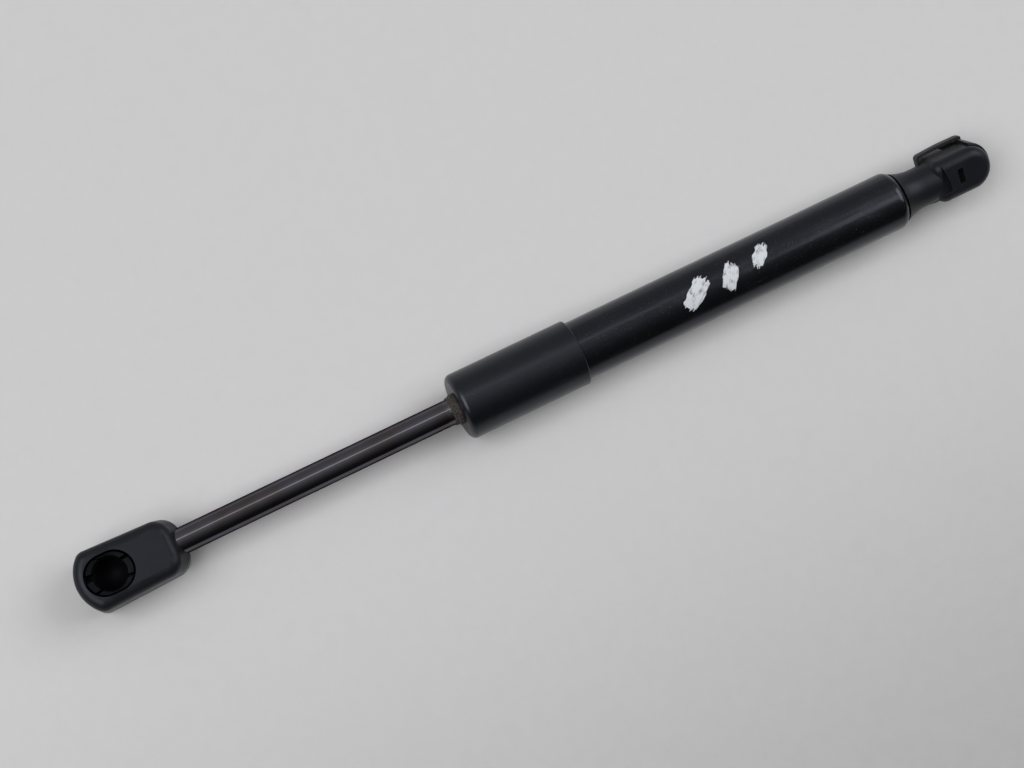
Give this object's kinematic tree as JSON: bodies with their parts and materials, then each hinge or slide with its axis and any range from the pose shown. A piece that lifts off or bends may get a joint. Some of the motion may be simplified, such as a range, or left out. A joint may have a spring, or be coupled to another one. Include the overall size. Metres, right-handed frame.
{
  "type": "hood gas strut",
  "caption": "Black hood gas strut at full length: a thin rod slides out of a sleeved pressure tube, with a ball socket at each end.",
  "frame": {"origin": "centre of the ball that the tube-end socket takes", "axes": "+X along the strut, from the rod end to the tube end; +Z out of the mouth of the rod-end socket"},
  "size_m": [0.306, 0.0206, 0.0206],
  "materials": {
    "tube_paint": "gloss black paint",
    "sleeve_plastic": "fine-grained matt black plastic",
    "wiper_rubber": "dusty grey rubber",
    "rod_steel": "black nitrided and polished",
    "socket_plastic": "satin black glass-filled plastic",
    "cup_plastic": "matt black plastic",
    "clip_steel": "black phosphated spring steel",
    "bare_steel": "turned and bare",
    "seal_rubber": "smooth black",
    "guide_plastic": "natural",
    "bush_bronze": "sintered bronze",
    "sintered_iron": "sintered",
    "ring_plastic": "filled slide plastic"
  },
  "bodies": {
    "tube": {"pressure_tube": "tube_paint", "dust_sleeve": "sleeve_plastic", "rod_wiper": "wiper_rubber", "tube_end_socket": "socket_plastic", "end_plug": "bare_steel", "tube_end_stud": "bare_steel", "plug_o_ring": "seal_rubber", "rod_guide": "guide_plastic", "guide_bush": "bush_bronze", "guide_o_ring": "seal_rubber", "rod_seal": "seal_rubber", "seal_washer": "bare_steel"},
    "ring": {"piston_ring": "ring_plastic"},
    "rod": {"piston_rod": "rod_steel", "rod_end_socket": "socket_plastic", "rod_end_ball_cup": "cup_plastic", "stop_bumper": "seal_rubber", "piston_washer": "bare_steel", "piston": "sintered_iron", "orifice_disc": "bare_steel", "rivet_washer": "bare_steel"},
    "clip": {"tube_end_clip": "clip_steel"}
  },
  "joints": [
    {"name": "rod_slide", "type": "slide", "parent": "tube", "child": "ring", "axis": [1, 0, 0], "range_m": [0, 0.08], "stiffness_N_per_m": 125, "springref_m": -0.28},
    {"name": "rod_turn", "type": "hinge", "parent": "ring", "child": "rod", "pos_m": [-0.288, 0, 0], "axis": [1, 0, 0], "continuous": true},
    {"name": "clip_lift", "type": "slide", "parent": "tube", "child": "clip", "axis": [0, 0.4695, -0.8829], "range_m": [0, 0.0025], "stiffness_N_per_m": 1000}
  ]
}
